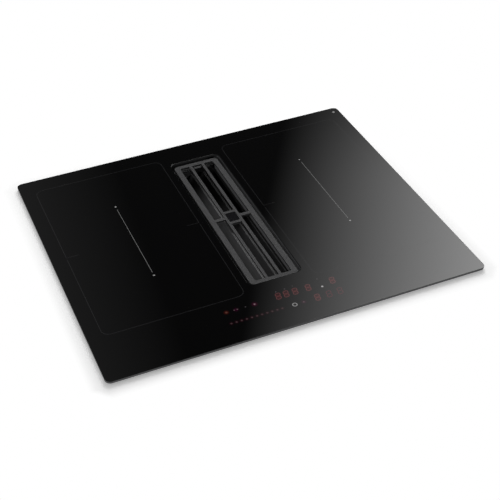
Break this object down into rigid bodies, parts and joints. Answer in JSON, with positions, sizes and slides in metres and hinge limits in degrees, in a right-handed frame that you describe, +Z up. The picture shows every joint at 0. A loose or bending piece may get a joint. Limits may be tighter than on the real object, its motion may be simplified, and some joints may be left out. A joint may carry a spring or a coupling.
{
  "type": "downdraft induction cooktop",
  "caption": "Frameless black glass induction cooktop with a suction vent down the middle, touch controls at the front, and a coil pan and blower air box with a duct outlet below.",
  "frame": {"origin": "middle of the footprint, at the underside of the air box", "axes": "+X right as the cook stands, +Y to the rear (the duct outlet side), +Z up through the glass"},
  "size_m": [0.6, 0.51, 0.21],
  "materials": {
    "black_glass": "polished",
    "foam_seal": "matte",
    "frame_plastic": "matte",
    "grille_coat": "satin",
    "inlay_gloss": "gloss",
    "filter_steel": "brushed",
    "tray_plastic": "matte",
    "pan_steel": "galvanised",
    "coil_copper": "lacquered winding",
    "mica": "matte",
    "carrier_plastic": "matte",
    "sensor_ceramic": "matte",
    "plate_aluminium": "rolled",
    "circuit_board": "satin",
    "heat_sink_aluminium": "extruded",
    "fan_plastic": "matte",
    "rotor_plastic": "satin",
    "terminal_plastic": "matte",
    "cover_plastic": "matte",
    "gland_plastic": "satin",
    "display_plastic": "matte",
    "light_guide": "clear",
    "air_box_plastic": "fine grain",
    "spigot_plastic": "fine grain",
    "scroll_plastic": "satin",
    "impeller_plastic": "satin",
    "motor_steel": "galvanised",
    "shaft_steel": "ground",
    "clamp_steel": "galvanised",
    "screw_steel": "plated"
  },
  "bodies": {
    "hob": {"glass_top": "black_glass", "glass_seal": "foam_seal", "vent_frame": "frame_plastic", "coil_pan": "pan_steel", "coil_front_left": "coil_copper", "coil_rear_left": "coil_copper", "coil_front_right": "coil_copper", "coil_rear_right": "coil_copper", "mica_sheet_front_left": "mica", "mica_sheet_rear_left": "mica", "mica_sheet_front_right": "mica", "mica_sheet_rear_right": "mica", "coil_carrier_front_left": "carrier_plastic", "coil_carrier_rear_left": "carrier_plastic", "coil_carrier_front_right": "carrier_plastic", "coil_carrier_rear_right": "carrier_plastic", "temperature_sensor_front_left": "sensor_ceramic", "temperature_sensor_rear_left": "sensor_ceramic", "temperature_sensor_front_right": "sensor_ceramic", "temperature_sensor_rear_right": "sensor_ceramic", "coil_plate_left": "plate_aluminium", "coil_plate_right": "plate_aluminium", "power_board_left": "circuit_board", "power_board_right": "circuit_board", "mains_filter_board": "circuit_board", "touch_board": "circuit_board", "heat_sink_left": "heat_sink_aluminium", "heat_sink_right": "heat_sink_aluminium", "cooling_fan_housing_left": "fan_plastic", "cooling_fan_housing_right": "fan_plastic", "terminal_block": "terminal_plastic", "terminal_cover": "cover_plastic", "control_carrier": "cover_plastic", "cable_gland": "gland_plastic", "display_module": "display_plastic", "light_guide": "light_guide", "air_box_upper": "air_box_plastic", "air_box_lower": "air_box_plastic", "outlet_spigot": "spigot_plastic", "blower_scroll": "scroll_plastic", "blower_motor": "motor_steel", "clamp_bracket_front_left": "clamp_steel", "clamp_bracket_rear_left": "clamp_steel", "clamp_bracket_front_right": "clamp_steel", "clamp_bracket_rear_right": "clamp_steel", "clamp_screw_front_left": "screw_steel", "clamp_screw_rear_left": "screw_steel", "clamp_screw_front_right": "screw_steel", "clamp_screw_rear_right": "screw_steel"},
    "drip_tray": {"drip_tray": "tray_plastic"},
    "grease_filter": {"grease_filter_frame": "filter_steel", "grease_filter_baffle": "filter_steel"},
    "grille": {"vent_grille": "grille_coat", "grille_inlay": "inlay_gloss"},
    "blower_wheel": {"motor_shaft": "shaft_steel", "blower_impeller": "impeller_plastic"},
    "cooling_fan_left": {"cooling_fan_rotor_left": "rotor_plastic"},
    "cooling_fan_right": {"cooling_fan_rotor_right": "rotor_plastic"}
  },
  "joints": [
    {"name": "drip_tray_lift", "type": "slide", "parent": "hob", "child": "drip_tray", "axis": [0, 0, 1], "range_m": [0, 0.215]},
    {"name": "filter_lift", "type": "slide", "parent": "drip_tray", "child": "grease_filter", "axis": [0, 0, 1], "range_m": [0, 0.06]},
    {"name": "grille_lift", "type": "slide", "parent": "grease_filter", "child": "grille", "axis": [0, 0, 1], "range_m": [0, 0.05]},
    {"name": "blower_spin", "type": "hinge", "parent": "hob", "child": "blower_wheel", "pos_m": [0.1405, -0.04, 0.03], "axis": [0, 0, 1], "continuous": true},
    {"name": "cooling_fan_left_spin", "type": "hinge", "parent": "hob", "child": "cooling_fan_left", "pos_m": [-0.166, -0.078, 0.16], "axis": [0, 0, 1], "continuous": true},
    {"name": "cooling_fan_right_spin", "type": "hinge", "parent": "hob", "child": "cooling_fan_right", "pos_m": [0.166, -0.078, 0.16], "axis": [0, 0, 1], "continuous": true}
  ]
}
